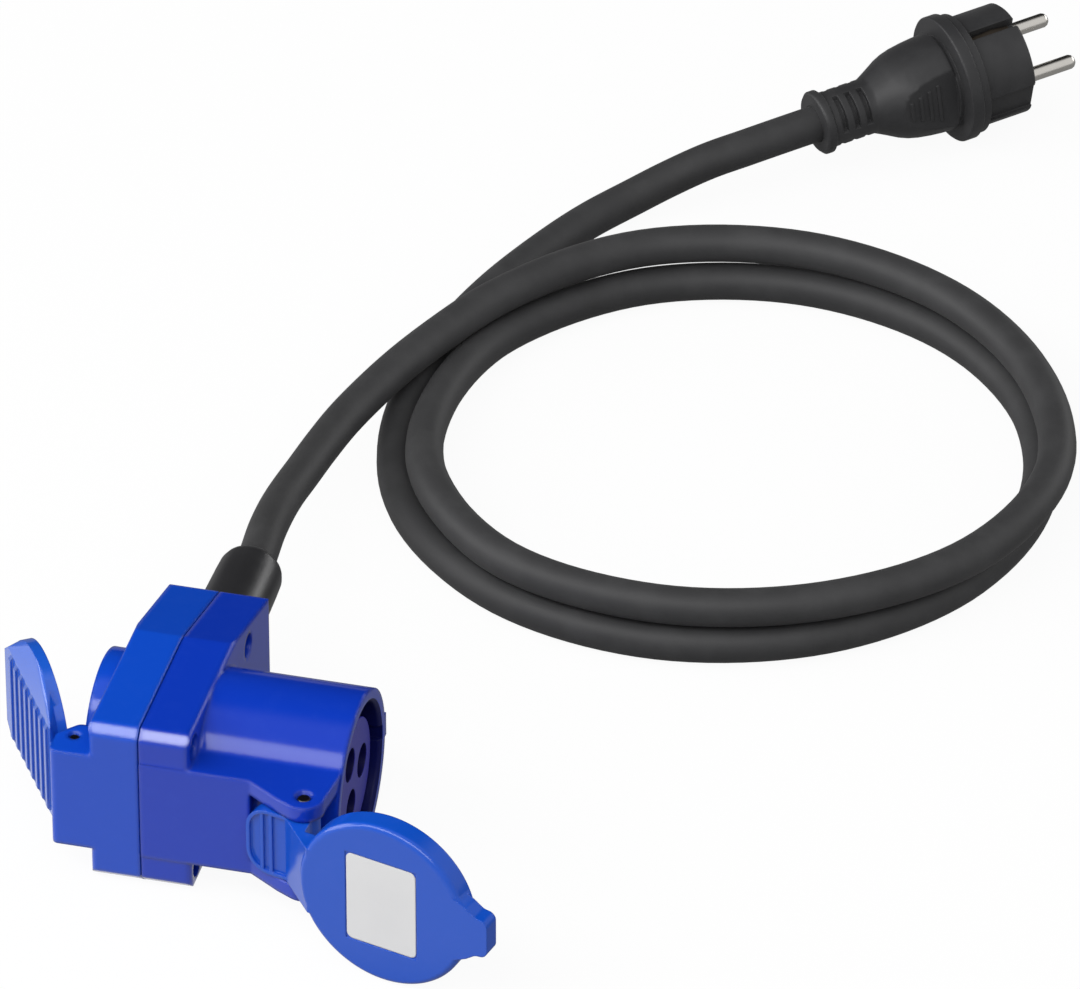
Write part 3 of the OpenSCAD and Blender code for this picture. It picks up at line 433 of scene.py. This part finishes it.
def mergedCopy(node, m):                        # one skin in place of the solid's loose triangles
    mesh = nodes[node].data.copy()
    mesh.name = m["name"]
    work = bmesh.new()
    work.from_mesh(mesh)
    bmesh.ops.remove_doubles(work, verts=work.verts, dist=softening["weld"])
    bmesh.ops.dissolve_limit(work, angle_limit=softening["flat"], verts=work.verts, edges=work.edges)
    weight = work.edges.layers.float.new("bevel_weight_edge")
    for face in work.faces:
        face.smooth = True
    for edge in work.edges:
        edge[weight] = edgeRound(edge, m["soften"]) / m["soften"]
        edge.smooth = True
    work.to_mesh(mesh)
    work.free()
    mesh.materials.clear()
    return mesh


def shadeRing(mesh, index, start, end, inner, outer):   # another finish between two radii of the connector: painted shade inside the collar and the contact holes, and the barrel's own gloss
    for face in mesh.polygons:
        x, y, z = face.center
        out = math.hypot(y - mouth[1], z - mouth[2])
        if start * mm < x < end * mm and inner * mm <= out < outer * mm:
            face.material_index = index


def shadeChamfer(mesh, index, end):             # another finish on the long edges of the near end
    for face in mesh.polygons:
        out, up = -face.normal.y, abs(face.normal.z)
        if face.center.y < end * mm and min(out, up) > softening["slope"]:
            face.material_index = index


def placePiece(obj, node):
    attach(obj, bodyOf[node])
    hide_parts(node)


def softenedSolid(node, m):
    mesh = mergedCopy(node, m)
    mesh.materials.append(finishes[m.get("finish", slotOf[node])])
    for finish, *ring in m.get("rings", ()):
        mesh.materials.append(finishes[finish])
        shadeRing(mesh, len(mesh.materials) - 1, *ring)
    if "chamfer" in m:
        finish, end = m["chamfer"]
        mesh.materials.append(finishes[finish])
        shadeChamfer(mesh, len(mesh.materials) - 1, end)
    obj = bpy.data.objects.new(m["name"], mesh)
    bpy.context.scene.collection.objects.link(obj)
    bevel = obj.modifiers.new("soften", "BEVEL")
    bevel.width = m["soften"] * mm
    bevel.segments = softening["segments"]
    bevel.limit_method = "WEIGHT"
    even = obj.modifiers.new("evenNormals", "WEIGHTED_NORMAL")
    even.keep_sharp = True
    placePiece(obj, node)
    print("softened", m["name"], len(mesh.polygons), "faces")


for node, m in shown.items():
    softenedSolid(node, m)

for node, slot in slotOf.items():
    solid = nodes[node].data
    solid.materials.clear()
    solid.materials.append(finishes[slot])


# Screws: head, cross recess, shank and thread, one on each seat of the solids

screws = {
    "housing_screws": {"name": "housingScrews", "shank": 3.5, "headHeight": 2.4, "pitch": 1.25, "cross": 1.0},
    "cord_clamp_screws": {"name": "clampScrews", "shank": 3.0, "headHeight": 2.2, "pitch": 1.0, "cross": 0.9},
}
screwShape = {"crown": 0.82, "rim": 0.35, "crossSpan": 1.4, "ridge": 0.25, "tip": 0.5,
              "headSides": 40, "shankSides": 24, "ridgeSides": 3}


class Weave(Sheet):                             # a Geometry Nodes tree with named inputs
    def __init__(self, name, inputs):
        super().__init__(bpy.data.node_groups.new(name, "GeometryNodeTree"))
        self.sockets = {}
        face = self.tree.interface
        face.new_socket("Geometry", in_out="OUTPUT", socket_type="NodeSocketGeometry")
        for label, kind in inputs.items():
            socket = face.new_socket(label, in_out="INPUT", socket_type="NodeSocket" + kind)
            self.sockets[label] = socket.identifier
        self.given = self.tree.nodes.new("NodeGroupInput")
        self.result = self.tree.nodes.new("NodeGroupOutput")

    def take(self, label):
        return Wire(self, self.given.outputs[label])

    def vector(self, x=0.0, y=0.0, z=0.0):
        return self.add("ShaderNodeCombineXYZ", None, {"X": x, "Y": y, "Z": z})

    def moved(self, geometry, **place):
        return self.add("GeometryNodeTransform", None,
                        {"Geometry": geometry, "Translation": self.vector(**place)})

    def joined(self, *parts):
        node = self.tree.nodes.new("GeometryNodeJoinGeometry")
        for part in parts:
            self.tree.links.new(part.socket, node.inputs[0])
        return Wire(self, node.outputs[0])


def screwTree(k):                               # head top at the seat, thread running down -Z
    w = Weave("threadedScrew", {"Geometry": "Geometry", "Head Radius": "Float", "Head Height": "Float",
                                "Shank Radius": "Float", "Length": "Float", "Pitch": "Float", "Cross": "Float",
                                "Finish": "Material"})
    headRadius, headHeight, shank = w.take("Head Radius"), w.take("Head Height"), w.take("Shank Radius")
    length, pitch, cross = w.take("Length"), w.take("Pitch"), w.take("Cross")
    run = length - headHeight
    core = shank - pitch * k["ridge"]
    rim = w.add("GeometryNodeMeshCone", None, {
        "Vertices": k["headSides"], "Radius Top": headRadius * k["crown"], "Radius Bottom": headRadius,
        "Depth": headHeight * k["rim"]})
    rim = w.moved(rim, z=headHeight * -k["rim"])
    skirt = w.add("GeometryNodeMeshCylinder", None, {
        "Vertices": k["headSides"], "Radius": headRadius, "Depth": headHeight * (1 - k["rim"])})
    skirt = w.moved(skirt, z=headHeight * (-0.5 - k["rim"] / 2))
    span = headRadius * k["crossSpan"]
    slots = [w.add("GeometryNodeMeshCube", None, {"Size": w.vector(*size, z=headHeight)})
             for size in ((span, cross), (cross, span))]
    head = w.add("GeometryNodeMeshBoolean", {"operation": "DIFFERENCE", "solver": "EXACT"},
                 {0: w.joined(rim, skirt), 1: w.joined(*slots)})
    rod = w.add("GeometryNodeMeshCylinder", None, {
        "Vertices": k["shankSides"], "Radius": core, "Depth": run - pitch})
    rod = w.moved(rod, z=headHeight * -1 - (run - pitch) * 0.5)
    tip = w.add("GeometryNodeMeshCone", None, {
        "Vertices": k["shankSides"], "Radius Top": core, "Radius Bottom": core * k["tip"], "Depth": pitch})
    tip = w.moved(tip, z=length * -1)
    climb = run - pitch * 2
    line = w.add("GeometryNodeCurveSpiral", None, {
        "Resolution": k["shankSides"], "Rotations": climb / pitch, "Start Radius": core, "End Radius": core,
        "Height": climb})
    line = w.moved(line, z=length * -1 + pitch)
    ridge = w.add("GeometryNodeCurvePrimitiveCircle", None, {
        "Resolution": k["ridgeSides"], "Radius": pitch * k["ridge"]})
    thread = w.add("GeometryNodeCurveToMesh", None, {"Curve": line, "Profile Curve": ridge, "Fill Caps": True})
    turned = w.vector(y=math.radians(90))
    copies = w.add("GeometryNodeInstanceOnPoints", None, {
        "Points": w.take("Geometry"), "Rotation": turned, "Instance": w.joined(head, rod, tip, thread)})
    solid = w.add("GeometryNodeRealizeInstances", None, {"Geometry": copies})
    coated = w.add("GeometryNodeSetMaterial", None, {"Geometry": solid, "Material": w.take("Finish")})
    w.feed(w.result.inputs[0], coated)
    return w


def screwSeats(node):                           # head centre of each separate screw, with its radius and length
    work = bmesh.new()
    work.from_mesh(nodes[node].data)
    bmesh.ops.remove_doubles(work, verts=work.verts, dist=softening["weld"])
    left, seats = set(work.verts), []
    while left:
        group, edge = set(), [left.pop()]
        while edge:
            vert = edge.pop()
            group.add(vert)
            near = {link.other_vert(vert) for link in vert.link_edges} & left
            left -= near
            edge.extend(near)
        low, high = [np.array([f(v.co[k] for v in group) for k in range(3)]) for f in (min, max)]
        seats.append(((high[0], *(low + high)[1:] / 2), (high[1] - low[1]) / 2, high[0] - low[0]))
    work.free()
    return sorted(seats)


def makeScrews(node, m, tree):
    seats = screwSeats(node)
    mesh = bpy.data.meshes.new(m["name"])
    mesh.from_pydata([at for at, radius, length in seats], [], [])
    obj = bpy.data.objects.new(m["name"], mesh)
    bpy.context.scene.collection.objects.link(obj)
    grow = obj.modifiers.new("screws", "NODES")
    grow.node_group = tree.tree
    sizes = {"Head Radius": float(seats[0][1]), "Head Height": m["headHeight"] * mm,
             "Length": float(seats[0][2]), "Shank Radius": m["shank"] / 2 * mm, "Pitch": m["pitch"] * mm,
             "Cross": m["cross"] * mm, "Finish": finishes[slotOf[node]]}
    for label, value in sizes.items():
        grow[tree.sockets[label]] = value
    made = bpy.data.meshes.new_from_object(obj.evaluated_get(bpy.context.evaluated_depsgraph_get()))
    obj.modifiers.clear()
    obj.data = made
    made.shade_smooth()
    made.set_sharp_from_angle(angle=softening["sharp"])
    placePiece(obj, node)
    print("screws", m["name"], len(seats), "seats", len(made.polygons), "faces")


threadedScrew = screwTree(screwShape)
for node, m in screws.items():
    makeScrews(node, m, threadedScrew)

makeCable(cable)


# Studio

studio = {
    "floor": 4.0, "floorHeight": -0.0004, "floorGrey": 0.3, "floorGlow": 1.15, "floorShare": 0.82,
    "frontGloss": 0.95, "backGloss": 0.22, "glossTurn": (0.7, 1, 0), "turnBlur": 0.03,
    "light": 0.6, "dark": 0.01, "darkAt": (-0.25, 0.85, 0.45), "darkReach": (0.55, 0.8),
    "lamps": {
        "softbox": {"bearing": -20, "height": 55, "away": 1.6, "wide": 2.6, "tall": 0.45, "power": 20},
        "sideFill": {"bearing": -82, "height": 18, "away": 1.8, "wide": 1.4, "tall": 1.0, "power": 15},
        "rimStrip": {"bearing": 144, "height": 12, "away": 1.8, "wide": 1.2, "tall": 0.35, "power": 4},
    },
}


def rise(sheet, value, low, high):              # 0 to 1 between two values
    return sheet.add("ShaderNodeMapRange", {"interpolation_type": "SMOOTHSTEP"},
                     {"Value": value, "From Min": low, "From Max": high})


def along(sheet, out, line):                    # how far a coordinate reaches along a line
    place = sheet.add("ShaderNodeTexCoord", out=out)
    return sheet.add("ShaderNodeVectorMath", {"operation": "DOT_PRODUCT"}, {0: place, 1: line}, out=1)


def makeFloor(s):
    half = s["floor"]
    mesh = bpy.data.meshes.new("paperFloor")
    corners = [(-half, -half), (half, -half), (half, half), (-half, half)]
    mesh.from_pydata([(x, y, s["floorHeight"]) for x, y in corners], [], [(0, 1, 2, 3)])
    obj = bpy.data.objects.new("paperFloor", mesh)
    bpy.context.scene.collection.objects.link(obj)
    material = bpy.data.materials.new("paperWhite")
    material.use_nodes = True
    sheet = Sheet(material.node_tree)
    material.node_tree.nodes.clear()
    rays = material.node_tree.nodes.new("ShaderNodeLightPath")
    camera, glossy, clear = [Wire(sheet, rays.outputs[k])
                             for k in ("Is Camera Ray", "Is Glossy Ray", "Is Transmission Ray")]
    back = rise(sheet, along(sheet, 3, s["glossTurn"]), -s["turnBlur"], s["turnBlur"])
    mirrored = s["frontGloss"] + back * (s["backGloss"] - s["frontGloss"])
    white = s["floorGlow"] + glossy * (mirrored - s["floorGlow"])
    matt = sheet.add("ShaderNodeBsdfDiffuse", None, {"Color": (*[s["floorGrey"]] * 3, 1)})
    glow = sheet.add("ShaderNodeEmission", None, {"Color": white, "Strength": 1.0})
    share = glossy + (camera + clear) * s["floorShare"]
    mix = sheet.add("ShaderNodeMixShader", None, {0: share, 1: matt, 2: glow})
    sheet.add("ShaderNodeOutputMaterial", None, {"Surface": mix})
    mesh.materials.append(material)


def makeWorld(s):
    world = bpy.data.worlds.new("studioWorld")
    bpy.context.scene.world = world
    world.use_nodes = True
    sheet = Sheet(world.node_tree)
    world.node_tree.nodes.clear()
    back = rise(sheet, along(sheet, 0, s["darkAt"]), *s["darkReach"])
    strength = s["light"] + back * (s["dark"] - s["light"])
    glow = sheet.add("ShaderNodeBackground", None, {"Color": (1, 1, 1, 1), "Strength": strength})
    sheet.add("ShaderNodeOutputWorld", None, {"Surface": glow})


def makeLamp(name, b):
    bearing, height = math.radians(b["bearing"]), math.radians(b["height"])
    flat = math.cos(height)
    away = Vector((math.sin(bearing) * flat, -math.cos(bearing) * flat, math.sin(height)))
    data = bpy.data.lights.new(name, "AREA")
    data.shape = "RECTANGLE"
    data.size = b["wide"]
    data.size_y = b["tall"]
    data.energy = b["power"]
    obj = bpy.data.objects.new(name, data)
    obj.location = away * b["away"]
    obj.rotation_euler = away.to_track_quat("Z", "Y").to_euler()
    bpy.context.scene.collection.objects.link(obj)


makeFloor(studio)
makeWorld(studio)
for name, lamp in studio["lamps"].items():
    makeLamp(name, lamp)
bpy.context.scene.view_settings.view_transform = "Standard"
print("studio lit")
